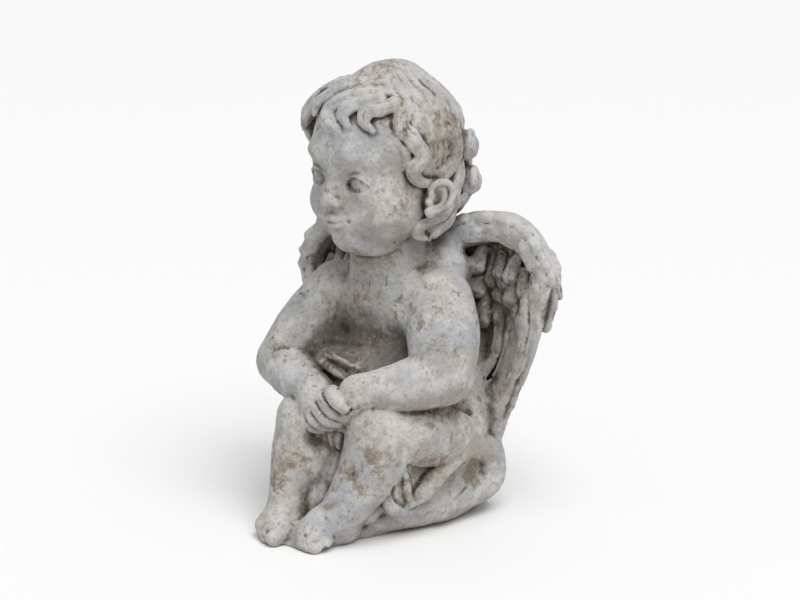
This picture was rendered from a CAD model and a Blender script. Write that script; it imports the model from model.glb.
"""Seated stone putto with wings, modelled like clay on a distance grid and skinned as one mesh.

Lengths are millimetres until the mesh is made, then metres. The frame is the CAD part's:
+Z is up, the figure faces -Y, and its left hand is on the +X side.
"""

import math

import bpy
import numpy as np
import openvdb
from mathutils import Matrix, Vector


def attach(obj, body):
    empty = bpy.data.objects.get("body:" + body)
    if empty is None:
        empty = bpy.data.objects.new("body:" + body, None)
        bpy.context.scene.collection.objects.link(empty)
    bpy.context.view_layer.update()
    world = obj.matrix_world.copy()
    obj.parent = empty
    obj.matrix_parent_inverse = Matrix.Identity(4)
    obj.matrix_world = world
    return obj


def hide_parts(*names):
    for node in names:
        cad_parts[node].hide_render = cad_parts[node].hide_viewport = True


FAR = 1000.0
CELL = 1.0
MM = 0.001


# ---------------------------------------------------------------- clay


def vec(*values):
    return np.array(values, float)


def smooth_min(a, b, blend):
    """The lower of two distances, with a fillet about blend wide where they meet."""
    if blend <= 0:
        return np.minimum(a, b)
    h = np.maximum(blend - np.abs(a - b), 0) / blend
    return np.minimum(a, b) - h * h * (blend / 4)


class Ball:
    """An ellipsoid. turn is a 3x3 matrix whose columns are its own axes."""

    def __init__(self, centre, radii, turn=None):
        self.centre = vec(*centre)
        self.radii = vec(*radii) if hasattr(radii, "__len__") else vec(radii, radii, radii)
        self.turn = np.eye(3) if turn is None else np.array(turn, float)
        half = np.sqrt(((self.turn * self.radii) ** 2).sum(1))
        self.low = self.centre - half
        self.high = self.centre + half

    def parts(self):
        return [self]

    def distance(self, x, y, z):
        px, py, pz = x - self.centre[0], y - self.centre[1], z - self.centre[2]
        k0 = k1 = 0
        for i in range(3):
            ax, ay, az = self.turn[:, i]
            q = (px * ax + py * ay + pz * az) / self.radii[i]
            k0 = k0 + q * q
            k1 = k1 + (q / self.radii[i]) ** 2
        k0 = np.sqrt(k0)
        return k0 * (k0 - 1) / (np.sqrt(k1) + 1e-6)


class Segment:
    """One tapered length of a strand. With a normal, its section is flattened along it by ratio."""

    def __init__(self, a, b, radius_a, radius_b, normal=None, ratio=1.0):
        self.a, self.along = a, b - a
        self.radius, self.taper = radius_a, radius_b - radius_a
        self.normal, self.ratio = normal, ratio
        self.low = np.minimum(a - radius_a, b - radius_b)
        self.high = np.maximum(a + radius_a, b + radius_b)

    def distance(self, x, y, z):
        px, py, pz = x - self.a[0], y - self.a[1], z - self.a[2]
        dx, dy, dz = self.along
        t = np.clip((px * dx + py * dy + pz * dz) / (self.along @ self.along), 0, 1)
        radius = self.radius + self.taper * t
        qx, qy, qz = px - dx * t, py - dy * t, pz - dz * t
        square = qx * qx + qy * qy + qz * qz
        if self.normal is None:
            return np.sqrt(square) - radius
        n = qx * self.normal[0] + qy * self.normal[1] + qz * self.normal[2]
        wide = np.maximum(square - n * n, 0)
        k0 = np.sqrt(wide + (n * self.ratio) ** 2)
        k1 = np.sqrt(wide + (n * self.ratio**2) ** 2) + 1e-6
        return (k0 - radius) * k0 / k1


def spline(points, count):
    """count + 1 rows on a Catmull-Rom curve through the rows of points."""
    p = np.array(points, float)
    p = np.vstack([2 * p[0] - p[1], p, 2 * p[-1] - p[-2]])
    rows = []
    for t in np.linspace(0, len(p) - 3, count + 1):
        i = min(int(t), len(p) - 4)
        u = t - i
        a, b, c, d = p[i : i + 4]
        square = 2 * a - 5 * b + 4 * c - d
        cube = 3 * b - a - 3 * c + d
        rows.append(0.5 * (2 * b + (c - a) * u + square * u**2 + cube * u**3))
    return np.array(rows)


class Strand:
    """A round or flattened strand through rows of (x, y, z, radius)."""

    def __init__(self, rows, steps=None, normal=None, ratio=1.0):
        rows = np.array(rows, float)
        count = steps or 4 * (len(rows) - 1)
        fine = spline(rows, count) if len(rows) > 2 else np.array(rows)
        fine[:, 3] = np.maximum(fine[:, 3], 0.2)
        self.pieces = []
        unit = None if normal is None else vec(*normal) / np.linalg.norm(normal)
        for a, b in zip(fine[:-1], fine[1:]):
            if np.linalg.norm(b[:3] - a[:3]) > 1e-3:
                self.pieces.append(Segment(a[:3], b[:3], a[3], b[3], unit, ratio))
        self.low = np.min([s.low for s in self.pieces], axis=0)
        self.high = np.max([s.high for s in self.pieces], axis=0)

    def parts(self):
        return self.pieces


class Clay:
    """Signed distances on a regular grid: negative inside."""

    def __init__(self, low, high, cell):
        self.low = vec(*low)
        self.cell = cell
        self.count = [int(math.ceil((b - a) / cell)) + 1 for a, b in zip(low, high)]
        self.distance = np.full(self.count, FAR, np.float32)

    def window(self, low, high):
        first = np.clip(np.floor((low - self.low) / self.cell), 0, self.count).astype(int)
        last = np.clip(np.ceil((high - self.low) / self.cell) + 1, 0, self.count).astype(int)
        return first, last

    def axes(self, first, last):
        lines = [self.low[i] + self.cell * np.arange(first[i], last[i]) for i in range(3)]
        x, y, z = (line.astype(np.float32) for line in lines)
        return x[:, None, None], y[None, :, None], z[None, None, :]

    def field(self, shape, reach):
        """The shape's own distances in the window that it reaches, and that window."""
        first, last = self.window(shape.low - reach, shape.high + reach)
        own = np.full(np.maximum(last - first, 0), FAR, np.float32)
        for piece in shape.parts():
            a, b = self.window(piece.low - reach, piece.high + reach)
            if np.any(b <= a):
                continue
            where = tuple(slice(i, j) for i, j in zip(a - first, b - first))
            own[where] = np.minimum(own[where], piece.distance(*self.axes(a, b)))
        return tuple(slice(i, j) for i, j in zip(first, last)), own

    def add(self, shape, blend=0.0):
        where, own = self.field(shape, blend + 2 * self.cell)
        self.distance[where] = smooth_min(self.distance[where], own, blend)

    def cut(self, shape, blend=0.0):
        where, own = self.field(shape, blend + 2 * self.cell)
        self.distance[where] = -smooth_min(-self.distance[where], own, blend)

    def join(self, other, blend=0.0):
        """Adds another block of clay on the same grid."""
        self.distance = smooth_min(self.distance, other.distance, blend)

    def flatten_below(self, height):
        z = self.low[2] + self.cell * np.arange(self.count[2])
        self.distance = np.maximum(self.distance, (height - z).astype(np.float32))


class Pose:
    """A turned local frame, for the head."""

    def __init__(self, origin, yaw, pitch):
        turn = Matrix.Rotation(math.radians(yaw), 3, "Z") @ Matrix.Rotation(math.radians(pitch), 3, "X")
        self.turn = np.array(turn)
        self.origin = vec(*origin)

    def at(self, point):
        return self.origin + self.turn @ vec(*point[:3])

    def ball(self, centre, radii, tilt=None):
        own = np.eye(3) if tilt is None else np.array(tilt)
        return Ball(self.at(centre), radii, self.turn @ own)

    def strand(self, rows, steps=None, normal=None, ratio=1.0):
        placed = [[*self.at(r), r[3]] for r in rows]
        turned = None if normal is None else self.turn @ vec(*normal)
        return Strand(placed, steps, turned, ratio)


# ---------------------------------------------------------------- figure

HEAD = Pose((0, 16, 283), yaw=-8, pitch=3)

# Ellipsoids: centre, radii. The scalp and the hair at the nape are in the head's frame.
SCALP = (vec(0, 0.5, 12), vec(52, 53.5, 50.5))
NAPE = (vec(0, 20, -18), vec(46, 44, 41))
LAP = ((-14, -12, 115), (34, 17, 19))  # the cloth that fills the lap


def mirrored(rows, side):
    """Rows of (x, y, z, radius) on the left, or on the right where side is -1."""
    return [(side * x, y, z, r) for x, y, z, r in rows]


def heap(clay, balls):
    """Adds ellipsoids in turn; each is centre, radii, blend."""
    for centre, radii, blend in balls:
        clay.add(Ball(centre, radii), blend)


def body(clay):
    heap(clay, (
        ((0, 30, 158), (45, 34, 38), 0),
        ((0, 22, 112), (43, 40, 38), 14),
        ((0, 34, 72), (52, 42, 34), 14),
        ((0, 44, 168), (42, 24, 36), 12),
        ((0, 56, 110), (40, 24, 80), 14),
        ((20, 9, 165), (22, 14, 15), 9),
        ((-20, 9, 165), (22, 14, 15), 9),
        ((-36, -6, 108), (28, 24, 22), 6),
        ((-44, 12, 128), (20, 20, 19), 8),
        (*LAP, 6),
    ))
    flank = [(46, 48, 150, 8), (50, 47, 124, 9), (51, 50, 104, 9), (52, 55, 84, 7)]
    for side in (1, -1):
        clay.add(Strand(mirrored(flank, side), 12), 9)
    clay.add(Strand([(0, 28, 178, 36), (0, 22, 205, 31), (0, 20, 226, 30)]), 16)


# Rows are x, y, z, radius.
LEFT_ARM = [
    (48, 22, 174, 25), (60, 11, 152, 27.5), (67, 2, 126, 23), (50, -20, 118, 19.5), (24, -45, 114, 13),
]
RIGHT_ARM = [
    (-46, 15, 168, 25), (-61.5, -6, 142, 23.5), (-70.5, -24, 117, 20.5), (-48, -34, 111, 18.5),
    (-21, -43, 107, 13.5),
]
LEFT_THIGH = [(36, 32, 66, 37), (42, 2, 79, 34), (33, -30, 86, 26)]
RIGHT_THIGH = [(-36, 26, 66, 36), (-38, -8, 74, 31), (-29, -40, 81, 24.5)]
LEFT_SHIN = [(33, -30, 86, 26), (36, -40, 64, 25), (30, -56, 40, 19), (20, -66, 20, 14.5)]
RIGHT_SHIN = [(-29, -40, 81, 24.5), (-29, -48, 60, 23), (-25, -66, 34, 16.5), (-22, -74, 18, 15)]


def arms(clay):
    for rows in (LEFT_ARM, RIGHT_ARM):
        clay.add(Strand(rows[:3], 24), 9)
        clay.add(Strand(rows[2:], 24), 2)


def legs(clay):
    for thigh, shin in ((LEFT_THIGH, LEFT_SHIN), (RIGHT_THIGH, RIGHT_SHIN)):
        clay.add(Strand(thigh, 24), 6)
        clay.add(Strand(shin, 36), 3)
    clay.add(Ball((-11, -40, 36), (24, 22, 40)), 14)
    crease = [(63, -2, 108, 1.5), (64, 14, 101, 3), (64, 32, 92, 4), (62, 48, 79, 3), (60, 58, 66, 2)]
    for side in (1, -1):
        clay.cut(Strand(mirrored(crease, side), 24), 7)


# The right hand's fingers, from the one beside the thumb: knuckle, two joints and tip, radius.
FINGERS = [
    ((-3, -55, 108), (5, -60, 105), (12, -60.5, 100.5), (18, -57, 97), 4.4),
    ((-8, -56, 102), (0, -61, 98), (8.5, -61, 93.5), (15, -56.5, 91.5), 4.4),
    ((-15, -54.5, 95), (-7.5, -59.5, 91), (0.5, -59.5, 88), (7.5, -55, 86.5), 4.2),
    ((-21, -51, 89), (-15.5, -56, 85), (-9, -56.5, 82.5), (-3, -52, 81.5), 3.8),
]
THUMB = [(3, -50, 110, 7.5), (11, -57, 112.5, 6.2), (18, -60.5, 110.5, 5.9), (23, -59, 106, 4.8)]


def hands(clay):
    """The right hand holds the left wrist; the left hand hangs in the gap between the knees."""
    clay.cut(Ball((-1, -62, 76), (15, 14, 9)), 5)
    clay.add(Strand([(24, -45, 114, 13), (19, -49, 105, 12), (13, -48, 95, 10.5), (8, -45, 86, 8)], 18), 3)
    for i in range(4):
        x = 10 - 6.2 * i
        clay.add(Strand([(x, -46, 88, 4), (x - 1, -49, 79, 4), (x - 2, -46, 70, 3.4)], 8), 1)
    clay.add(Strand([(-21, -43, 107, 13.5), (-14, -48, 103, 13.5), (-6, -50, 100, 10.5)], 18), 4)
    clay.add(Ball((-10, -49.5, 99), (17.5, 9, 14)), 4)
    for *joints, radius in FINGERS:
        rows = [(*p, radius * (1.0 if k < 3 else 0.82)) for k, p in enumerate(joints)]
        clay.add(Strand(rows, 15), 1.0)
    under = [(x + 1, y - 1, z - 6, 1.4) for x, y, z, _ in THUMB[1:]] + [(28, -56, 106, 1)]
    clay.cut(Strand(under, 12), 1)
    clay.add(Strand(THUMB, 15), 0.8)


# Across the foot from its middle, ahead of the toe line, radius.
TOES = ((-10.5, 1.5, 6.2), (-2, 3, 4.8), (4.5, 2, 4.4), (10, -1, 4.2), (15, -5, 4.0))


def foot(clay, heel, toe, outer, turn):
    """heel and toe end the sole's middle line; outer is +1 where the little toe is on the +X side.

    turn is how far each toe falls back for each millimetre across the foot.
    """
    heel, toe = vec(*heel), vec(*toe)
    along = (toe - heel) * (1, 1, 0)
    along /= np.linalg.norm(along)
    across = vec(-along[1], along[0], 0)
    if across[0] * outer < 0:
        across = -across
    middle = 0.5 * heel + 0.5 * toe
    ball = toe - 8 * along + vec(0, 0, 1)
    clay.add(Strand([(*heel, 13), (*(middle + vec(0, 0, 5)), 14), (*ball, 11.5)], 12), 6)
    clay.add(Ball(toe - 5 * along, (18, 12.5, 10.5)), 5)
    for side, ahead, size in TOES:
        place = toe + across * side + along * (ahead - turn * side) + vec(0, 0, size - 9.5)
        root = place - 9 * along + vec(0, 0, 3)
        tip = place + 2.4 * along
        clay.add(Strand([(*root, size), (*place, size + 0.2), (*tip, size - 0.4)], 8), 2.5)


def feet(clay):
    foot(clay, (21, -58, 12), (6, -84, 9.5), 1, -0.1)
    foot(clay, (-20, -64, 12), (-23, -91, 9.5), -1, 0.25)
    chips = (((-3, -88, 17), 1.8), ((12, -92, 13), 2.2), ((24, -84, 4), 3.0), ((-14, -105, 6), 1.8))
    for place, size in chips:
        clay.cut(Ball(place, size), 1.5)


def base(clay):
    heap(clay, (
        ((0, 41, 4), (50, 51, 38), 3),
        ((0, 56, 10), (54, 38, 46), 10),
        ((0, -12, 2), (36, 54, 24), 10),
        ((-4, -52, 14), (22, 18, 26), 12),
        ((-4, -66, 2), (26, 26, 13), 4),
    ))
    low = [
        (8, -42, 7, 8), (23, -38, 10, 7.5), (34, -22, 12, 10.5), (43, -1, 14, 12),
        (49.5, 22, 14, 13), (50, 44, 14, 13),
    ]
    behind = [(30, -42, 20, 8), (33, -33, 28, 9), (38, -18, 30, 11), (44, 0, 32, 13)]
    for side in (1, -1):
        clay.add(Strand(mirrored(low, side), 20), 4)
        clay.add(Strand(mirrored(behind, side), 18), 4)


def fold(clay, rows, normal=None, ratio=1.0, blend=5):
    clay.add(Strand(rows, 6 * (len(rows) - 1), normal, ratio), blend)


def cloth(clay):
    """The cloth under the figure: a roll at the hip, a turned-over band and the folds that fan out of it."""
    for side in (1, -1):
        clay.add(Ball((side * 50, 36, 28), (15, 36, 26)), 6)
        clay.add(Ball((side * 45, 0, 30), (15, 36, 25)), 6)
    roll = [(63, 36, 57, 5), (63, 50, 56, 9), (62, 63, 50, 12), (61, 68, 38, 13), (61, 66, 27, 13)]
    roll += [(61, 54, 20, 11), (60, 36, 18, 9), (57, 12, 15, 8)]
    fold(clay, roll, blend=4)
    clay.cut(Strand([(71, 37, 47, 4), (71, 40, 39, 6), (70, 45, 30, 5)], 12), 5)
    clay.add(Ball((49, -16, 42), (9.5, 22, 24)), 4)
    over_band = [(57, -33, 64, 1.2), (59.5, -18, 55, 2.2), (64, -2, 54, 2.2), (67, 8, 60, 1.8)]
    over_band += [(67, 30, 69, 1.2)]
    clay.cut(Strand(over_band, 24), 1.5)
    band = [(66, 46, 60, 5), (66.5, 30, 60, 7.5), (66.5, 13, 55, 7.5), (65.5, -3, 47, 7.5)]
    band += [(62.5, -13, 38, 7), (58.5, -22, 31, 5), (56, -26, 28, 3)]
    fold(clay, band, (0.85, -0.35, 0.4), 1.3, 1.5)
    under = [(69, 28, 50, 1.2), (70, 14, 45, 2.2), (69, 2, 38, 2.2), (66, -9, 30, 2), (60, -21, 25, 1.2)]
    clay.cut(Strand(under, 24), 1)
    fold(clay, [(55, -33, 60, 2.2), (57, -28, 50, 3), (58, -27, 38, 3.2), (58, -22, 29, 3)], blend=1.2)
    flap = [(48, -28, 58, 4), (49, -35, 50, 5.5), (49, -37, 42, 6), (49, -36, 31, 6.5), (50, -30, 25, 6)]
    flap += [(53, -15, 22, 6), (56, 6, 22, 6), (58, 26, 24, 6)]
    fold(clay, flap, blend=2)
    clay.cut(Strand([(53, -40, 56, 1), (54, -40, 46, 1.8), (54, -38, 36, 1.8), (56, -30, 28, 1)], 16), 1.5)
    clay.cut(Ball((53, -30, 14), (2.4, 3, 1.6)), 0.8)
    for i in range(3):
        y, z = 6 * i, -3 * i
        crease = [(66, -6 + y, 24 + z, 0.8), (68.5, 8 + y, 28 + z, 1.4), (67, 22 + y, 34 + z, 0.8)]
        clay.cut(Strand([(row[0] - i, *row[1:]) for row in crease], 12), 1.5)
    far_roll = [
        (-62, 20, 44, 7), (-60, 44, 46, 10), (-58, 66, 36, 12), (-58, 50, 16, 11), (-58, 16, 12, 10),
        (-52, -6, 12, 8),
    ]
    fold(clay, far_roll)
    for i in range(4):
        top = (-60 + i, 24 - 12 * i, 48 - i, 3)
        fold(clay, [top, (-62 + 2 * i, 14 - 13 * i, 28, 4.5), (-60 + 3 * i, 10 - 12 * i, 10, 5)], blend=3)
    for x in range(-44, 45, 22):
        top = (0.8 * x, 84 - 0.004 * x * x, 44, 3)
        fold(clay, [top, (x, 92 - 0.006 * x * x, 24, 5), (1.05 * x, 94 - 0.008 * x * x, 6, 6)])


def lap_folds(clay):
    """Ridges of cloth in the hollow between the arms and the belly, with two deep slits between them."""
    (cx, cy, cz), (rx, ry, rz) = LAP

    def row(x, z, lift, radius):
        depth = max(0.02, 1 - ((x - cx) / rx) ** 2 - ((z - cz) / rz) ** 2)
        return (x, cy - ry * math.sqrt(depth) - lift, z, radius)

    for path in (
        [(-34, 130), (-22, 129.5), (-10, 128), (2, 125.5), (14, 122)],
        [(-38, 124), (-26, 122.5), (-14, 119.5), (-2, 116), (10, 112)],
        [(-40, 117), (-30, 114.5), (-19, 111), (-8, 107)],
        [(-40, 110), (-31, 107), (-22, 103)],
    ):
        fold(clay, [row(x, z, 0.3, 1.2 + 1.4 * (0 < k < 3)) for k, (x, z) in enumerate(path)], blend=2.5)
    for path in ([(-24, 126.4), (-13, 124.6), (-2, 121.6)], [(-30, 118.6), (-20, 115.8), (-11, 112.4)]):
        clay.cut(Strand([row(x, z, 0.5, 1.7) for x, z in path], 8), 1)


# ---------------------------------------------------------------- head


def skull(clay):
    for centre, radii, blend in (
        ((0, 6, 8), (49, 53, 50), 0),
        ((0, -14, -20), (45, 39, 45), 12),
        ((0, -8, 12), (46, 49, 42), 8),
        ((0, -12, -40), (42, 35, 26), 10),
        ((27, -27, -35), (21, 20, 20), 8),
        ((-27, -27, -35), (21, 20, 20), 8),
        ((0, -41, -42), (17, 13, 13), 8),
        ((0, -42, -57), (11, 10, 8), 7),
        ((0, -22, -63), (28, 22, 11), 9),
    ):
        clay.add(HEAD.ball(centre, radii), blend)


EYE = vec(20.5, -37.6, -12)
EYE_RADIUS = 12.0
LID = 1.4  # thickness


def eye(clay, side):
    """Lids with an oval opening over a ball in a shallow socket; the iris is an incised ring."""

    def over_ball(x, z, lift=0.0):
        reach = (EYE_RADIUS + lift) ** 2 - (x - EYE[0]) ** 2 - (z - EYE[2]) ** 2
        return vec(side * x, EYE[1] - math.sqrt(max(reach, 6)), z)

    def arc(inner, crest, outer, lift, radius):
        rows = []
        for i in range(9):
            t = i / 8
            x = inner[0] + (outer[0] - inner[0]) * t
            z = inner[1] + (outer[1] - inner[1]) * t + crest * math.sin(math.pi * t) ** 0.8
            rows.append((*over_ball(x, z, lift), radius * (0.5 + 0.5 * math.sin(math.pi * t))))
        return HEAD.strand(rows, 16)

    clay.cut(HEAD.ball((21.5 * side, -60, -8.5), (14, 8.6, 10)), 10)
    clay.add(HEAD.ball(EYE * (side, 1, 1), EYE_RADIUS + LID), 6)
    clay.cut(HEAD.ball((22.6 * side, -51.0, -12.6), (11.4, 10.5, 5.9)), 0.6)
    clay.cut(HEAD.strand([(*over_ball(13, -13.8, 0.6), 1.0), (*over_ball(10.4, -14.6, 1.6), 0.5)], 3), 1)
    clay.cut(HEAD.strand([(*over_ball(29, -13.4, 0.4), 1.6), (*over_ball(32, -14.4, 0.6), 0.8)], 3), 0.8)
    clay.add(HEAD.ball(EYE * (side, 1, 1), EYE_RADIUS), 0.3)
    clay.cut(arc((14, -7.5), 5.4, (32.5, -9.5), LID + 1.0, 0.9), 1.8)
    clay.add(arc((12, -15.5), -4.6, (31.5, -14.5), LID - 0.2, 0.9), 1.2)
    clay.add(arc((11.4, -12.8), 7.2, (32, -12.4), LID + 0.3, 1.2), 0.8)
    turns = [k * math.pi / 6 for k in range(13)]
    ring = [(*over_ball(20.8 + 5 * math.cos(a), -11.8 + 5 * math.sin(a)), 0.5) for a in turns]
    clay.cut(HEAD.strand(ring, 24), 0.5)
    clay.cut(HEAD.ball(over_ball(20.8, -11.6, 0.6), 2.0), 1.2)
    brow = [(10, -52, 6.5, 1), (21, -51.5, 9, 2), (33, -43, 5, 1.4)]
    clay.add(HEAD.strand(mirrored(brow, side), 10), 12)


def nose(clay):
    clay.add(HEAD.strand([(0, -50.5, -5, 4.5), (0, -53, -14, 4.2), (0, -57, -22, 4.6)], 8), 7)
    clay.add(HEAD.ball((0, -58.6, -25.5), (5.6, 5.0, 4.8)), 3)
    for side in (1, -1):
        clay.add(HEAD.ball((6.2 * side, -54.4, -27.2), (3.7, 4.6, 3.6)), 2.4)
        clay.cut(HEAD.ball((3.2 * side, -58.2, -30.4), (1.6, 2.0, 1.5)), 0.8)


def mouth(clay):
    upper, lower, parting = [], [], []
    for i in range(-4, 5):
        x = 3.0 * i
        t = abs(i) / 4
        y = -55.6 + 4.4 * t**1.8
        bow = math.cos(2 * math.pi * t) if t < 0.75 else -0.2
        upper.append((x, y - 0.4, -39.2 + 0.5 * bow - 1.7 * t, 2.4 * (1 - t) ** 0.5 + 0.5))
        lower.append((0.8 * x, y + 0.2, -45.2 + 2.4 * t**1.6, 3.1 * (1 - t) ** 0.6 + 0.4))
        z = -42.2 - 0.5 * math.cos(math.pi * t) + 0.5 * t**3
        parting.append((1.08 * x, y - 1.9 + 0.4 * t, z, 0.8 - 0.25 * t))
    clay.add(HEAD.strand(upper, 20), 1.8)
    clay.add(HEAD.strand(lower, 20), 2.0)
    clay.cut(HEAD.strand(parting, 20), 1.4)
    for side in (1, -1):
        clay.cut(HEAD.ball((13.2 * side, -51.6, -41.6), (1.0, 1.8, 1.0)), 3)
    clay.cut(HEAD.strand([(0, -58.6, -31.5, 1.0), (0, -58.2, -37, 1.3)], 3), 2.4)


EAR_PLACE = vec(50, 3, -27)
EAR_OUT = vec(0.86, -0.5, -0.05)
EAR_UP = vec(0.12, 0.3, 0.95)
EAR_BACK = vec(0.46, 0.82, -0.31)


def ear(clay, side):
    """A shell of rim, bowl and lobe on a plane that faces out and a little forward."""
    flip = vec(side, 1, 1)

    def place(back, up, out):
        return (EAR_PLACE + back * EAR_BACK + up * EAR_UP + out * EAR_OUT) * flip

    def slab(back, up, out, radii):
        axes = np.column_stack([EAR_BACK, EAR_UP, EAR_OUT]) * flip[:, None]
        return HEAD.ball(place(back, up, out), radii, axes / np.linalg.norm(axes, axis=0))

    clay.add(slab(2, 0, 0, (10.5, 14, 6)), 2)
    clay.cut(slab(0.8, 1.5, 7, (6.4, 8.4, 4.4)), 1.5)
    rim = [
        (-4, 0, 3), (-6, 5, 4), (-4, 10.5, 5), (1.5, 13.5, 5.5), (7.5, 12, 6), (10.5, 6, 6.5),
        (10, -1, 6), (7, -7, 5), (2, -11, 4.6),
    ]
    clay.add(HEAD.strand([(*place(*r), 2.5) for r in rim], 24), 1)
    inner = [(4, 8, 3, 1.4), (5.6, 3, 4, 1.7), (5, -3, 4, 1.7), (1, -7, 4, 1.6)]
    clay.add(HEAD.strand([(*place(*r[:3]), r[3]) for r in inner], 12), 1)
    clay.add(HEAD.ball(place(-5.5, -3.5, 4), 2.8), 1.4)
    clay.add(slab(-1.5, -11.5, 3.5, (5, 4.5, 3.6)), 2.5)


# ---------------------------------------------------------------- hair


class Dome:
    """The part of a ball that lies behind a plane."""

    def __init__(self, ball, point, normal, edge=5.0):
        self.ball, self.point, self.normal, self.edge = ball, point, normal, edge
        self.low, self.high = ball.low, ball.high

    def parts(self):
        return [self]

    def distance(self, x, y, z):
        behind = sum((c - p) * n for c, p, n in zip((x, y, z), self.point, self.normal))
        return -smooth_min(-self.ball.distance(x, y, z), behind, self.edge)


def over(mass, azimuth, height, lift=0.0):
    """A point over a mass of hair in the head's frame. azimuth 0 is the face and 90 the left ear."""
    centre, radii = mass
    a, h = math.radians(azimuth), math.radians(height)
    return centre + (radii + lift) * vec(math.sin(a) * math.cos(h), -math.cos(a) * math.cos(h), math.sin(h))


def lock_along(clay, middle, width, strands=3, tip=0.35, root=0.6):
    """A flat lock of parallel strands along a path in the head's frame, narrow at the tip."""
    tangent = np.gradient(middle, axis=0)
    outward = middle / (50, 50, 60) - vec(0, 0.1, -0.1)
    across = np.cross(tangent, outward)
    across /= np.linalg.norm(across, axis=1)[:, None]
    outward = np.cross(across, tangent)
    outward /= np.linalg.norm(outward, axis=1)[:, None]
    t = np.linspace(0, 1, len(middle))
    full = np.minimum(1, np.minimum(root + 3.0 * t, tip + 2.2 * (1 - t)))
    core = middle - outward * (0.5 * width * full)[:, None]
    clay.add(HEAD.strand(np.column_stack([core, 0.66 * width * full]), len(middle) // 2), 1.5)
    for i in range(strands):
        o = (i - (strands - 1) / 2) / max(1, (strands - 1) / 2)
        shift = o * width * 0.58 * full
        sink = -0.22 * width * abs(o) * full
        radius = width * 0.5 * full * (1.0 if o == 0 else 0.86)
        path = middle + across * shift[:, None] + outward * sink[:, None]
        clay.add(HEAD.strand(np.column_stack([path, radius]), len(middle) - 1), 1.3)


def lock(clay, rows, width, strands=3, mass=SCALP, **ends):
    """A lock through rows of (azimuth, height, lift) over a mass of hair."""
    path = spline([over(mass, *row) for row in rows], 6 * (len(rows) - 1))
    lock_along(clay, path, width, strands, **ends)


def hair(clay):
    behind = HEAD.turn @ vec(0, 0.825, 0.565)
    clay.add(Dome(HEAD.ball(*SCALP), HEAD.at((0, -49, 38)), behind), 2)
    clay.add(HEAD.ball((5.5, 6.5, 14), (49.5, 50.5, 48)), 6)
    clay.add(HEAD.ball((3.2, 6.4, 38), (26, 27, 31)), 14)
    clay.add(Dome(HEAD.ball(*NAPE), HEAD.at((0, 9, -30)), HEAD.turn @ vec(0, 0.95, 0.3), 6), 8)
    back_locks(clay)
    front_locks(clay)
    ear_locks(clay)


def front_locks(clay):
    """The locks over the forehead and the temples."""
    lock(clay, [(16, 66, 0), (-12, 54, 6), (-34, 41, 6.5), (-46, 28, 8), (-47, 16, 10), (-51, 6, 10)], 7.8)
    lock(clay, [(6, 60, 0), (-16, 48, 4), (-27, 34, 7), (-26, 23, 6)], 6.5)
    lock(clay, [(44, 56, 0), (24, 50, 2), (2, 42, 3), (-10, 31, 4), (-2, 22, 4), (8, 16, 4), (9, 8, 2)], 7)
    lock(clay, [(26, 54, 1), (8, 47, 2), (0, 35, 2), (6, 26, 2)], 5, 2)
    lock(clay, [(58, 54, 0), (38, 44, 3), (20, 39, 4), (11, 30, 4), (18, 20, 3)], 6.5)
    lock(clay, [(82, 46, 0), (64, 40, 3), (46, 35, 4), (35, 34, 4), (32, 25, 4), (40, 17, 2)], 6)
    before_ear = [
        (60, 49, 0), (69, 36, 3), (62, 21, 4), (70, 9, 5), (77, -4, 6), (70, -16, 6), (78, -27, 6),
        (97, -31, 6),
    ]
    lock(clay, before_ear, 6.5)
    lock(clay, [(56, 34, 0), (52, 22, 0), (60, 8, 1), (66, -4, 2), (63, -16, 1)], 4.5, 2)
    right_temple = [
        (-70, 52, 0), (-64, 36, 3), (-72, 22, 4), (-66, 8, 5), (-76, -4, 5), (-84, -14, 5), (-76, -24, 4),
    ]
    lock(clay, right_temple, 7)
    lock(clay, [(-44, 50, 0), (-56, 34, 5), (-54, 20, 9), (-57, 8, 9), (-59, -4, 6), (-66, -12, 3)], 6.5)
    lock(clay, [(-84, 44, 0), (-92, 24, 3), (-86, 8, 4), (-96, -8, 5), (-104, -22, 5), (-94, -34, 4)], 7)


def ear_locks(clay):
    """Behind and under the left ear: a hollow with thin strands, hooked locks and two curls."""
    clay.cut(HEAD.ball(over(SCALP, 100, -9, 5), (9, 12, 12)), 5)
    for i in range(5):
        a = 87 + 7 * i
        lock(clay, [(a - 2, 10, 0), (a + 5, -3, 0), (a - 3, -13, 0.5), (a + 3, -23, 0)], 3.8, 2, tip=0.6)
    lock(clay, [(98, 14, 1), (110, 9, 3), (119, -2, 5), (120, -16, 5), (111, -28, 5), (99, -32, 4)], 6)
    curl(clay, (40, 43, 3), 12, 1)
    curl(clay, (41, 44.5, -24), 11.5, -1)
    lock(clay, [(126, 2, 3), (120, -12, 4), (126, -26, 4), (121, -38, 3)], 7)
    clay.add(HEAD.ball((37, 16, -48), (9, 14, 12)), 3)
    lock(clay, [(112, 20, 2), (104, 2, 3), (96, -14, 4), (104, -30, 4), (92, -46, 3)], 7, mass=NAPE)
    lock(clay, [(138, 8, 2), (130, -12, 4), (118, -26, 4), (124, -42, 3)], 8, mass=NAPE)
    under = [(44, 26, -36), (47, 17, -43), (46, 5, -46.5), (42, -5, -50), (39, -5, -57), (41, 1, -61)]
    lock_along(clay, spline(under, 30), 5.5, root=0.7)
    lower = spline([(40, 32, -44), (43, 22, -52), (42, 12, -57), (38, 7, -64)], 18)
    lock_along(clay, lower, 5.5)


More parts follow.
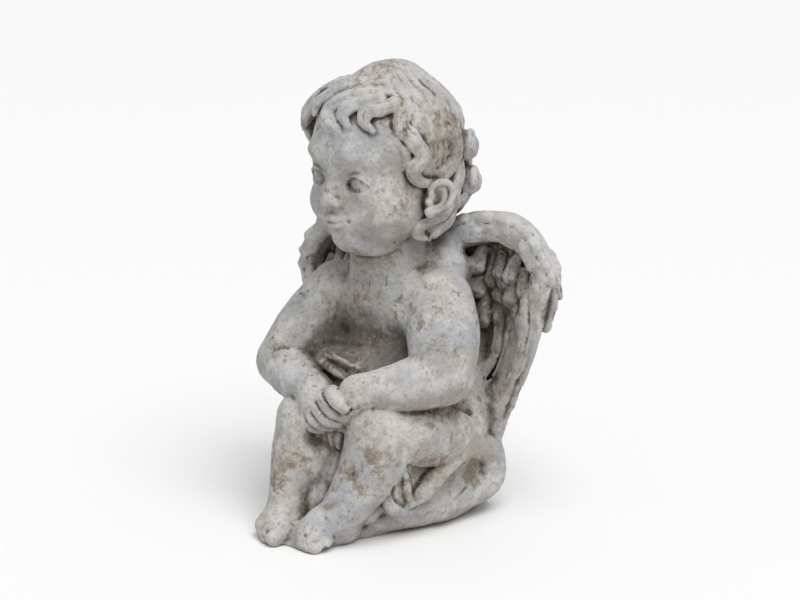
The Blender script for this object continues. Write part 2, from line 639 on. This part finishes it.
def curl(clay, centre, radius, sense):
    """A lock wound up like a snail on the hair; sense is +1 or -1 for the way it winds."""
    centre = vec(*centre)
    out = centre * (1, 1, 0) / np.linalg.norm(centre[:2])
    side = vec(-out[1], out[0], 0)
    clay.add(HEAD.ball(centre, radius * 0.94), 3)
    rows = []
    for i in range(16):
        a, reach = 0.55 * i, radius * (0.9 - 0.05 * i)
        place = centre + out * radius * (0.35 + 0.028 * i)
        place = place + (side * sense * math.cos(a) + vec(0, 0, math.sin(a))) * reach
        rows.append((*place, radius * (0.3 - 0.007 * i)))
    clay.add(HEAD.strand(rows, 45), 0.8)


# Tiers of locks: how many, first azimuth, step, wander, width, hair mass, and the rows of a lock,
# which are azimuth from the lock's own, height and lift.
TIERS = (
    (8, 150, 19, 2.1, 7.6, SCALP, ((-4, 46, 0), (4, 32, 2), (-3, 18, 4), (2, 5, 5), (10, -3, 3.5))),
    (8, 158, 18, 1.7, 7.4, NAPE, ((3, 26, 2), (-5, 8, 4), (2, -9, 5), (-6, -22, 5), (-15, -27, 3))),
    (7, 142, 20, 2.9, 7, NAPE, ((0, -10, 1), (5, -26, 4), (-3, -40, 5), (5, -50, 4), (16, -54, 2))),
)


def back_locks(clay):
    """Hooked locks round the back and the right side; a tier's locks wave side by side."""
    for count, first, step, wander, width, mass, rows in TIERS:
        for i in range(count):
            azimuth = first + step * i + 2 * math.sin(wander * i)
            lock(clay, [(azimuth + a, height, lift) for a, height, lift in rows], width, mass=mass)
    right = spline([(-44, 26, -36), (-47, 16, -43), (-45, 5, -48), (-41, -3, -54), (-42, 1, -61)], 24)
    lock_along(clay, right, 5.5, root=0.7)


# ---------------------------------------------------------------- wings

# Left wing; the right one is its mirror. Rows are x, y, z, radius.
WING_BAND = [
    (18, 50, 204, 11), (34, 57, 218, 12), (58, 63, 226, 12.5), (82, 64, 228, 11.5), (100, 62, 221, 11),
    (112, 60, 208, 10), (118, 60, 196, 8),
]
WING_RIM = [
    (113, 61, 200, 9), (109, 61, 178, 10), (101, 62, 156, 10), (89, 64, 134, 9.5), (76, 67, 108, 9),
    (66, 70, 82, 8), (60, 73, 56, 7),
]
# Long feathers of the back: top, middle and tip, from the outside in.
FEATHERS = [
    ((108, 66, 208), (118, 66, 204), (125, 64, 194)),
    ((102, 67, 208), (113, 68, 180), (113, 67, 158)),
    ((97, 69, 212), (95, 70, 146), (58, 76, 54)),
    ((89, 70, 215), (87, 72, 144), (53, 79, 48)),
    ((80, 71, 216), (79, 74, 142), (47, 81, 46)),
    ((70, 71, 214), (70, 76, 140), (41, 82, 45)),
    ((60, 70, 210), (60, 77, 138), (36, 83, 45)),
    ((48, 68, 204), (48, 77, 134), (30, 83, 45)),
]
# Shorter feathers in the wing's hollow, rows as above.
FRONT_FEATHERS = [
    ((104, 58, 186), (103, 54, 164), (100, 54, 142)),
    ((111, 54, 184), (112, 55, 160), (106, 57, 138)),
    ((99, 60, 150), (93, 60, 128), (85, 62, 112)),
    ((84, 66, 160), (79, 65, 136), (68, 66, 112)),
    ((70, 66, 158), (68, 66, 134), (60, 65, 108)),
    ((76, 67, 124), (70, 67, 104), (60, 67, 84)),
]
# Small round feathers in the hollow: x, y, z, length, width.
COVERTS = [
    (56, 61, 210, 14, 7), (73, 62, 206, 13, 6.5), (88, 61, 206, 14, 6.5), (64, 64, 200, 14, 6.5),
    (81, 63, 201, 15, 7), (96, 60, 197, 15, 6.5), (57, 62, 192, 15, 7.5), (72, 65, 190, 15, 6.5),
    (85, 62, 191, 16, 8.5), (96, 61, 180, 15, 6.5), (58, 61, 170, 15, 7.5), (71, 66, 174, 16, 6.5),
    (83, 66, 170, 16, 6.5), (92, 64, 163, 16, 6),
]


def feather(clay, points, width, normal=(0, 1, 0), ratio=2.2):
    """A long flat feather with a rounded tip and a raised shaft."""
    rows = [(*points[0], 0.75 * width), (*points[1], width), (*points[2], 0.62 * width)]
    clay.add(Strand(rows, 12, normal, ratio), 0.6)
    out = vec(*normal) / np.linalg.norm(normal) * (width / ratio - 0.2)
    for face in (1, -1):
        clay.add(Strand([(*(vec(*p) + face * out), 1.1) for p in points], 12), 0.8)


def barbs(clay, points, width, normal, count):
    """Fine grooves that leave a feather's shaft at a slant."""
    line = spline(points, count)
    along = np.gradient(line, axis=0)
    along /= np.linalg.norm(along, axis=1)[:, None]
    unit = vec(*normal) / np.linalg.norm(normal)
    for i in range(1, count):
        across = np.cross(along[i], unit)
        for side in (1, -1):
            root = line[i] + side * across * 1.5
            tip = line[i] + side * across * width * 0.85 + along[i] * width * 0.7
            clay.cut(Strand([(*root, 0.5), (*tip, 0.5)], 2), 0.5)


WING_ROOT = 30  # how far the wing's root lies from the middle
RIGHT_DROP = 0.28  # how much lower the right wing lies, for each millimetre outward of its root


def beside(point, side):
    """A point of the left wing, or the matching one of the right wing."""
    x, y, z = point
    return vec(side * x, y, z - (RIGHT_DROP * max(0, x - WING_ROOT) if side < 0 else 0))


def wing(clay, side):
    def part(rows):
        return [(*beside(row[:3], side), row[3]) for row in rows]

    for i, points in enumerate(FEATHERS):
        placed = [beside(p, side) for p in points]
        feather(clay, placed, 8 if i == 0 else 10)
        back = [p + vec(0, 4.2, 0) for p in placed]
        barbs(clay, back, 8, (0, 1, 0), 14 if i > 1 else 6)
    for i in range(7):
        top = vec(101 - 11 * i, 78 + 0.4 * i, 212 - 0.25 * i * i)
        rows = (top, top + vec(5 - i, 3, -26), top + vec(6 - 2.2 * i, 3, -50 - 4 * (i % 3)))
        feather(clay, [beside(p, side) for p in rows], 8, ratio=2.6)
    for row in range(2):
        for i in range(7):
            top = vec(108 - 13 * i + 5 * row, 75.5 + 2.5 * (1 - row), 216 - 13 * row - (i == 0) * 8)
            clay.add(Strand(part([(*top, 6), (*(top + vec(1.5, 3, -14)), 7)]), 4, (0, 1, 0), 2.0), 0.8)
    clay.add(Strand(part(WING_RIM), 24, (0.3 * side, 1, 0), 1.35), 3)
    clay.add(Strand(part(WING_BAND), 24), 3)
    band_relief(clay, part)
    for i, (x, y, z, length, width) in enumerate(COVERTS):
        root = vec(x, y, z)
        tip = root + vec(0.04 * (x - 94) + 3 * math.sin(2.7 * i), -2.5, -length)
        rows = part([(*(root + vec(0, 3, 0)), 0.7 * width), (*tip, width)])
        clay.add(Strand(rows, 5, (0.3 * math.sin(1.9 * i) * side, 1, 0.35), 1.7), 0.3)
        line = part([(*(root + vec(0, -3.4, 0)), 0.5), (*(tip + vec(0, -4, -2)), 0.6)])
        clay.cut(Strand(line, 3), 0.6)
    for points in FRONT_FEATHERS:
        feather(clay, [beside(p, side) for p in points], 7, (0.25 * side, 1, 0), 1.8)
    clay.add(Ball(beside((58, 71, 174), side), (45, 7, 50)), 3)
    clay.add(Ball((side * 30, 62, 112), (26, 16, 80)), 8)
    clay.add(Ball((side * 28, 46, 190), (26, 18, 26)), 8)
    clay.add(Ball((side * 44, 54, 84), (22, 22, 52)), 10)
    for slit in (
        [(79, 60, 140, 2), (71, 62, 122, 5), (62, 64, 106, 4), (58, 65, 102, 1)],
        [(77, 66, 110, 2), (68, 67, 95, 4), (60, 69, 85, 1)],
    ):
        clay.cut(Strand(part(slit), 16, (0.75 * side, 0.15, -0.5), 5), 0.6)


def band_relief(clay, part):
    """Overlapping scales of small feathers along the wing's leading edge, with incised lines."""
    path = spline(WING_BAND + WING_RIM[1:4], 60)
    for i in range(4, 48, 5):
        for row in range(2):
            a, b = path[i + 2 * row], path[i + 7 + 2 * row]
            size = 0.56 * b[3]
            across = (5.5 - 8.5 * row) + 0.8 * math.sin(1.7 * i)
            out = vec(a[2] - b[2], 0, b[0] - a[0]) / math.hypot(a[2] - b[2], b[0] - a[0])
            depth = math.sqrt(max(b[3] ** 2 - across**2, 9)) - size / 1.6
            root = a[:3] + across * out - vec(0, depth - 1.2, 0)
            tip = b[:3] + 1.15 * across * out - vec(0, depth + 1.4, 0)
            rows = part([(*root, 0.7 * size), (*tip, size)])
            clay.add(Strand(rows, 5, (0, 1, 0.1), 1.6), 0.5)
            groove = root - vec(0, size / 1.6 + 0.6, 0), tip - vec(0, size / 1.6 + 0.2, 0)
            clay.cut(Strand(part([(*groove[0], 0.5), (*groove[1], 0.7)]), 4), 0.6)


GRID_LOW = (-150, -120, -6)
GRID_HIGH = (150, 115, 372)


def sculpt():
    clay = Clay(GRID_LOW, GRID_HIGH, CELL)
    body(clay)
    base(clay)
    legs(clay)
    feet(clay)
    lap_folds(clay)
    arms(clay)
    hands(clay)
    for side in (1, -1):
        wing(clay, side)
    cloth(clay)
    head = Clay(GRID_LOW, GRID_HIGH, CELL)
    skull(head)
    hair(head)
    nose(head)
    mouth(head)
    for side in (1, -1):
        eye(head, side)
        ear(head, side)
    clay.join(head, 2)
    clay.flatten_below(0.0)
    return clay


# ---------------------------------------------------------------- weathering

TRIANGLES = 190000
FIRM = 3.0  # the height over which the flat underside fades into the rough surface
GROUND = 0.3  # how full of stone the ground under the statue counts as
NEAR, MIDDLE, WIDE = 3, 9, 24  # reaches of the neighbourhoods whose fullness is measured


def ramp(low, high, value):
    """0 below low, 1 above high and smooth between."""
    t = np.clip((value - low) / (high - low), 0, 1)
    return t * t * (3 - 2 * t)


def hashed(cells, seed):
    """A steady random number from 0 to 1 for each whole-number cell."""
    x, y, z = (cells[:, i].astype(np.int64).astype(np.uint32) for i in range(3))
    h = x * np.uint32(374761393) + y * np.uint32(668265263) + z * np.uint32(3266489917)
    h = h + np.uint32(seed * 362437)
    h = (h ^ (h >> np.uint32(13))) * np.uint32(1274126177)
    h = (h ^ (h >> np.uint32(16))) * np.uint32(2246822519)
    return ((h >> np.uint32(8)) & np.uint32(0xFFFF)).astype(np.float32) / 65535


def noise(points, size, seed):
    """Smooth noise from -1 to 1 with lumps about size across."""
    q = points / size
    cell = np.floor(q)
    u = q - cell
    u = u * u * (3 - 2 * u)
    total = 0
    for corner in np.ndindex(2, 2, 2):
        share = np.prod(np.where(corner, u, 1 - u), axis=1)
        total = total + share * hashed(cell + corner, seed)
    return 2 * total - 1


def pits(points, spacing, share, radius, seed):
    """0 on whole stone and 1 at the bottom of a round pit; share of the cells have one."""
    q = points / spacing
    cell = np.floor(q)
    depth = np.zeros(len(points), np.float32)
    for step in np.ndindex(3, 3, 3):
        near = cell + step - 1.0
        spot = near + np.column_stack([hashed(near, seed + k) for k in range(3)])
        away = np.linalg.norm(q - spot, axis=1) * spacing
        size = radius * (0.5 + hashed(near, seed + 3)) * (hashed(near, seed + 4) < share)
        depth = np.maximum(depth, 1 - (away / np.maximum(size, 0.01)) ** 2)
    return depth


def mean_over(values, cells):
    """The mean over a box that reaches the given number of cells each way."""
    for axis in range(3):
        pad = [(0, 0)] * 3
        pad[axis] = (cells + 1, cells)
        total = np.cumsum(np.pad(values, pad, mode="edge"), axis=axis, dtype=np.float32)
        count = values.shape[axis]
        upper = np.take(total, range(2 * cells + 1, 2 * cells + 1 + count), axis=axis)
        values = (upper - np.take(total, range(count), axis=axis)) / (2 * cells + 1)
    return values


class Fullness:
    """How full of stone the neighbourhood of a point is: 0.5 on a flat face, more in a crease."""

    def __init__(self, clay, reaches):
        self.low, self.cell = clay.low, clay.cell
        stone = np.clip(0.5 - clay.distance / clay.cell, 0, 1)
        stone[:, :, : int(-clay.low[2] / clay.cell)] = GROUND
        self.means = {reach: mean_over(stone, max(1, round(reach / clay.cell))) for reach in reaches}

    def at(self, points, reach):
        values = self.means[reach]
        q = (points - self.low) / self.cell
        cell = np.clip(np.floor(q), 0, np.array(values.shape) - 2).astype(int)
        u = q - cell
        total = 0
        for corner in np.ndindex(2, 2, 2):
            share = np.prod(np.where(corner, u, 1 - u), axis=1)
            total = total + share * values[tuple((cell + corner).T)]
        return total


def weather(points, normals, full):
    """Moves the surface as years outdoors do: unevenness, grain, pits and worn or broken edges."""
    edge = 0.5 - full.at(points, NEAR)
    lift = 0.45 * noise(points, 21, 1) + 0.28 * noise(points, 8.5, 2) + 0.16 * noise(points, 4, 3)
    pocked = ramp(0.35, 0.75, noise(points, 3.2, 7)) * ramp(-0.1, 0.5, noise(points, 26, 8))
    lift += 0.16 * noise(points, 2.1, 4) - 0.5 * pocked
    lift -= 0.7 * ramp(0.05, 0.9, pits(points, 11, 0.22, 1.5, 11))
    lift += combed(points)
    broken = ramp(0.1, 0.5, noise(points, 11, 5)) * ramp(0.05, 0.16, edge)
    lift -= 1.5 * broken + 0.5 * ramp(0.08, 0.2, edge) * (0.5 + noise(points, 5, 6))
    lift *= 1 - 0.7 * ramp(0, 1, face_share(points))
    lift *= ramp(0.2, FIRM, points[:, 2])
    return points + normals * lift[:, None]


def combed(points):
    """Faint worn strands of hair down the smooth part of the head."""
    local = (points - HEAD.origin) @ HEAD.turn
    azimuth = np.arctan2(local[:, 0], -local[:, 1])
    wave = np.sin(26 * azimuth + 2.2 * noise(points, 16, 9) + 1.2 * np.sin(local[:, 2] / 9))
    from_axis = np.hypot(local[:, 0], local[:, 1])
    share = ramp(10, 22, local[:, 2]) * ramp(-38, -26, local[:, 1]) * ramp(12, 24, from_axis)
    return 0.55 * share * wave * ramp(-0.5, 0.3, noise(points, 19, 10))


def face_share(points):
    """1 on the face and 0 away from it."""
    local = (points - HEAD.origin) @ HEAD.turn
    return ramp(-20, -34, local[:, 1]) * ramp(24, 14, local[:, 2]) * ramp(-70, -60, local[:, 2])


# Patches of brown stain: x, y, z, radius, strength.
STAINS = (
    (42, -58, 66, 34, 0.9), (34, -58, 92, 26, 0.6), (28, -70, 44, 24, 0.8), (4, -4, 168, 42, 0.8),
    (72, -4, 150, 26, 0.9), (60, -14, 172, 22, 0.6), (44, -18, 250, 24, 0.5), (-20, -36, 262, 26, 0.4),
    (-6, 6, 344, 46, 0.8), (36, -24, 322, 30, 0.8), (68, 40, 40, 18, 2.0), (60, -8, 56, 26, 1.3),
    (0, -58, 76, 20, 1.6), (-10, -24, 124, 34, 1.1), (54, 8, 176, 20, 0.4), (58, -28, 40, 22, 1.0),
    (90, 58, 150, 40, 0.5), (20, -66, 22, 18, 0.5), (-6, -14, 214, 26, 0.7), (48, 20, 300, 40, 1.0),
    (-8, -12, 140, 34, 0.9), (60, 62, 110, 46, 0.6), (56, 4, 92, 42, 0.8), (-28, -62, 50, 40, 0.8),
    (58, 4, 172, 34, 0.6), (2, -6, 176, 30, 0.9),
)

# Places that seldom dry, with the two eye sockets among them: x, y, z, radius, strength.
DAMP = (
    (-6, -10, 140, 62, 0.3), (-14, -26, 122, 30, 0.3), (80, 62, 184, 44, 0.28), (-94, 60, 184, 52, 0.28),
    (*HEAD.at((20.5, -48, -12)), 15, 0.22), (*HEAD.at((-20.5, -48, -12)), 15, 0.22),
    (58, 0, 90, 56, 0.15), (-30, -62, 52, 46, 0.13), (64, 0, 172, 36, 0.08),
)


def patches(points, places):
    """The strongest of the places at each point, fading out at its radius."""
    share = np.zeros(len(points))
    for x, y, z, radius, strength in places:
        away = np.linalg.norm(points - (x, y, z), axis=1)
        share = np.maximum(share, strength * ramp(radius, 0.3 * radius, away))
    return share


# ---------------------------------------------------------------- mesh


def read(data, name, size):
    values = np.empty(len(data) * size, np.float32)
    data.foreach_get(name, values)
    return values.reshape(-1, size).astype(float) if size > 1 else values


def skin(clay, name):
    """The weathered mesh where the distance is zero, in metres, with what its paint needs."""
    grid = openvdb.FloatGrid(FAR)
    grid.copyFromArray(clay.distance)
    points, quads = grid.convertToQuads(isovalue=0)
    points = points * clay.cell + clay.low
    mesh = bpy.data.meshes.new(name)
    mesh.from_pydata(points, [], quads)
    mesh.update()
    full = Fullness(clay, (NEAR, MIDDLE, WIDE))
    moved = weather(points, read(mesh.vertex_normals, "vector", 3), full)
    moved[:, 2] = np.maximum(moved[:, 2], 0)
    mesh.vertices.foreach_set("co", moved.ravel() * MM)
    thing = bpy.data.objects.new(name, mesh)
    bpy.context.scene.collection.objects.link(thing)
    thin(thing)
    describe(thing.data, full)
    return thing


def thin(thing):
    """Leaves about TRIANGLES triangles, most of them where the form turns."""
    modifier = thing.modifiers.new("thin", "DECIMATE")
    modifier.ratio = min(1.0, TRIANGLES / (2 * len(thing.data.polygons)))
    graph = bpy.context.evaluated_depsgraph_get()
    mesh = bpy.data.meshes.new_from_object(thing.evaluated_get(graph))
    thing.modifiers.clear()
    thing.data = mesh
    mesh.shade_smooth()


def describe(mesh, full):
    """Stores on each vertex what its paint needs: creases, hollows, shelter, stains and its slope."""
    points = read(mesh.vertices, "co", 3) / MM
    normals = read(mesh.vertex_normals, "vector", 3)
    facts = {
        "crease": (full.at(points, NEAR) - 0.5) * (1 - 0.5 * face_share(points)),
        "hollow": full.at(points + 4 * normals, MIDDLE),
        "stain": patches(points, STAINS),
        "shelter": full.at(points + 12 * normals, WIDE) + patches(points, DAMP),
        "cover": full.at(points + 6 * normals + (0, 0, 26), WIDE),
        "up": normals[:, 2],
    }
    for name, values in facts.items():
        layer = mesh.attributes.new(name, "FLOAT", "POINT")
        layer.data.foreach_set("value", np.asarray(values, np.float32))


# ---------------------------------------------------------------- stone


class Nodes:
    """Short calls for building a node tree on the object's own coordinates."""

    def __init__(self, tree):
        self.tree = tree
        self.place = self.new("ShaderNodeTexCoord").outputs["Object"]

    def new(self, kind, **settings):
        node = self.tree.nodes.new(kind)
        for key, value in settings.items():
            setattr(node, key, value)
        return node

    def link(self, source, target):
        self.tree.links.new(source, target)

    def fact(self, name):
        return self.new("ShaderNodeAttribute", attribute_name=name).outputs["Fac"]

    def noise(self, scale, detail=4.0, roughness=0.55, place=None):
        node = self.new("ShaderNodeTexNoise")
        node.inputs["Scale"].default_value = scale
        node.inputs["Detail"].default_value = detail
        node.inputs["Roughness"].default_value = roughness
        self.link(place or self.place, node.inputs["Vector"])
        return node.outputs["Fac"]

    def math(self, operation, a, b=0.0, clamp=False):
        node = self.new("ShaderNodeMath", operation=operation, use_clamp=clamp)
        for socket, value in zip(node.inputs, (a, b)):
            if isinstance(value, (int, float)):
                socket.default_value = value
            else:
                self.link(value, socket)
        return node.outputs[0]

    def between(self, value, low, high):
        """0 where value is at or below low and 1 at or above high; low may be the higher number."""
        node = self.new("ShaderNodeMapRange", interpolation_type="SMOOTHSTEP")
        self.link(value, node.inputs["Value"])
        node.inputs["From Min"].default_value = low
        node.inputs["From Max"].default_value = high
        return node.outputs["Result"]


def linear(*values):
    """A linear colour from red, green and blue display values above 10, out of 255."""
    return (*(((c / 255 + 0.055) / 1.055) ** 2.4 for c in values), 1)


PALE = linear(196, 194, 191)
WARM = linear(166, 161, 153)
COOL = linear(164, 167, 172)
TAN = linear(149, 140, 128)
BROWN = linear(117, 104, 92)
MOSS = linear(110, 106, 96)
GRIME = linear(82, 74, 64)
DARK = linear(42, 35, 29)


def stone():
    """Weathered cast stone: pale worn faces, brown stains, and grime in the creases and hollows."""
    paint = bpy.data.materials.new("cast_stone")
    paint.use_nodes = True
    tree = paint.node_tree
    n = Nodes(tree)
    shader = tree.nodes["Principled BSDF"]

    def blend(share, a, b):
        node = n.new("ShaderNodeMix", data_type="RGBA")
        sockets = [socket for socket in node.inputs if socket.enabled]
        for socket, value in zip(sockets, (share, a, b)):
            if isinstance(value, tuple):
                socket.default_value = value
            else:
                n.link(value, socket)
        return next(socket for socket in node.outputs if socket.enabled)

    def swing(value, reach):
        """A noise value moved to swing about 0."""
        return n.math("MULTIPLY", n.math("SUBTRACT", value, 0.5), reach)

    crease, hollow, shelter = (n.fact(k) for k in ("crease", "hollow", "shelter"))
    stain, cover, up = (n.fact(k) for k in ("stain", "cover", "up"))
    broad, patch, cloud = n.noise(16, 3), n.noise(60, 6, 0.62), n.noise(170, 6, 0.68)
    speck, grain = n.noise(420, 4, 0.75), n.noise(1100, 3, 0.6)
    washed = n.math("ADD", up, swing(patch, 1.2))
    reach = n.math("ADD", swing(cloud, 1.1), swing(patch, 1.3))
    reach = n.math("ADD", reach, n.math("MULTIPLY", stain, 0.34))
    sheltered = n.math("ADD", cover, swing(patch, 0.35))
    damp = n.math("ADD", hollow, n.math("ADD", swing(patch, 0.3), swing(cloud, 0.2)))
    shade = n.math("ADD", shelter, n.math("ADD", swing(patch, 0.2), swing(cloud, 0.2)))
    dirt = n.math("ADD", crease, swing(cloud, 0.16))
    stretch = n.new("ShaderNodeMapping")
    n.link(n.place, stretch.inputs["Vector"])
    stretch.inputs["Scale"].default_value = (1.0, 1.0, 0.22)
    stretch.inputs["Rotation"].default_value = (0.35, 0.5, 0.0)
    streak = n.noise(300, 3, 0.6, stretch.outputs["Vector"])
    colour = blend(n.between(broad, 0.35, 0.65), WARM, COOL)
    # Coats in the order that they lie: what drives it, none at, full at, strength, colour.
    for driver, none, full, strength, tint in (
        (patch, 0.42, 0.62, 1.0, PALE),
        (washed, 0.2, 0.9, 0.5, PALE),
        (washed, 0.0, -0.8, 0.45, TAN),
        (cloud, 0.48, 0.7, 0.35, TAN),
        (reach, 0.06, 0.44, 0.75, TAN),
        (reach, 0.22, 0.58, 0.75, BROWN),
        (sheltered, 0.38, 0.8, 0.45, MOSS),
        (damp, 0.3, 0.66, 0.6, TAN),
        (damp, 0.46, 0.78, 0.8, GRIME),
        (shade, 0.36, 0.62, 0.7, GRIME),
        (dirt, 0.02, 0.15, 0.8, GRIME),
        (dirt, 0.1, 0.24, 0.85, DARK),
        (dirt, -0.04, -0.14, 0.5, PALE),
        (speck, 0.52, 0.68, 0.3, PALE),
        (speck, 0.47, 0.34, 0.35, GRIME),
        (streak, 0.31, 0.26, 0.55, DARK),
        (speck, 0.34, 0.28, 0.6, GRIME),
    ):
        share = n.between(driver, none, full)
        colour = blend(n.math("MULTIPLY", share, strength), colour, tint)
    n.link(colour, shader.inputs["Base Color"])
    rough = n.math("ADD", 0.84, n.math("MULTIPLY", cloud, 0.14), clamp=True)
    n.link(rough, shader.inputs["Roughness"])
    shader.inputs["Specular IOR Level"].default_value = 0.3
    height = n.math("ADD", n.math("MULTIPLY", speck, 0.8), n.math("MULTIPLY", grain, 0.35))
    dents = n.math("ADD", n.between(speck, 0.34, 0.28), n.between(streak, 0.31, 0.26))
    height = n.math("SUBTRACT", height, n.math("MULTIPLY", dents, 0.8))
    bump = n.new("ShaderNodeBump")
    bump.inputs["Strength"].default_value = 0.55
    bump.inputs["Distance"].default_value = 0.0008
    n.link(height, bump.inputs["Height"])
    n.link(bump.outputs["Normal"], shader.inputs["Normal"])
    return paint


# ---------------------------------------------------------------- stage

CAMERA_AZIMUTH = 40.0
CAMERA_ELEVATION = 15.0
CAMERA_DISTANCE = 1.6
CAMERA_AIM = Vector((0.016, 0.0135, 0.172))
CAMERA_LENS = 95.4
KEY_DIRECTION = (0.45, -0.22, 1.0)
KEY_SPREAD = 45
KEY_STRENGTH = 2.4
WORLD_STRENGTH = 0.47
FLOOR_REACH = 6.0
FLOOR_COLOUR = (0.9, 0.9, 0.9, 1)


def camera():
    azimuth, elevation = math.radians(CAMERA_AZIMUTH), math.radians(CAMERA_ELEVATION)
    level = math.cos(elevation)
    back = Vector((math.sin(azimuth) * level, -math.cos(azimuth) * level, math.sin(elevation)))
    data = bpy.data.cameras.new("camera")
    data.lens = CAMERA_LENS
    eye = bpy.data.objects.new("camera", data)
    eye.location = CAMERA_AIM + back * CAMERA_DISTANCE
    eye.rotation_mode = "QUATERNION"
    eye.rotation_quaternion = (-back).to_track_quat("-Z", "Y")
    bpy.context.scene.collection.objects.link(eye)
    bpy.context.scene.camera = eye


def soft_sun(name, direction, spread, strength):
    """Even light from a direction; spread is how many degrees wide its source looks."""
    data = bpy.data.lights.new(name, "SUN")
    data.angle = math.radians(spread)
    data.energy = strength
    lamp = bpy.data.objects.new(name, data)
    lamp.rotation_mode = "QUATERNION"
    lamp.rotation_quaternion = Vector(direction).to_track_quat("Z", "Y")
    bpy.context.scene.collection.objects.link(lamp)


def studio():
    world = bpy.data.worlds.new("world")
    bpy.context.scene.world = world
    world.use_nodes = True
    background = world.node_tree.nodes["Background"]
    background.inputs["Color"].default_value = (1, 1, 1, 1)
    background.inputs["Strength"].default_value = WORLD_STRENGTH
    soft_sun("key", KEY_DIRECTION, KEY_SPREAD, KEY_STRENGTH)
    bpy.context.scene.view_settings.view_transform = "Standard"


def ground():
    """A plain pale floor, level with the underside."""
    mesh = bpy.data.meshes.new("floor")
    r = FLOOR_REACH
    mesh.from_pydata([(-r, -r, 0), (r, -r, 0), (r, r, 0), (-r, r, 0)], [], [(0, 1, 2, 3)])
    floor = bpy.data.objects.new("floor", mesh)
    paint = bpy.data.materials.new("floor")
    paint.use_nodes = True
    paint.node_tree.nodes["Principled BSDF"].inputs["Base Color"].default_value = FLOOR_COLOUR
    mesh.materials.append(paint)
    bpy.context.scene.collection.objects.link(floor)


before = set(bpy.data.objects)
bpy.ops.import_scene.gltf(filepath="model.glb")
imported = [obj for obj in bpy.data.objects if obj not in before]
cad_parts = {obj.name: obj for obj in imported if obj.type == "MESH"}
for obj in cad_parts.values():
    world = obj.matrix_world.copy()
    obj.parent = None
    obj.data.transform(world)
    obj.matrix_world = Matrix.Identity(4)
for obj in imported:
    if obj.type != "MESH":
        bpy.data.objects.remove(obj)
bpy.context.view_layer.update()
camera()
studio()
ground()
statue = skin(sculpt(), "putto")
statue.data.materials.append(stone())
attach(statue, "root")
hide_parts("putto_statue")
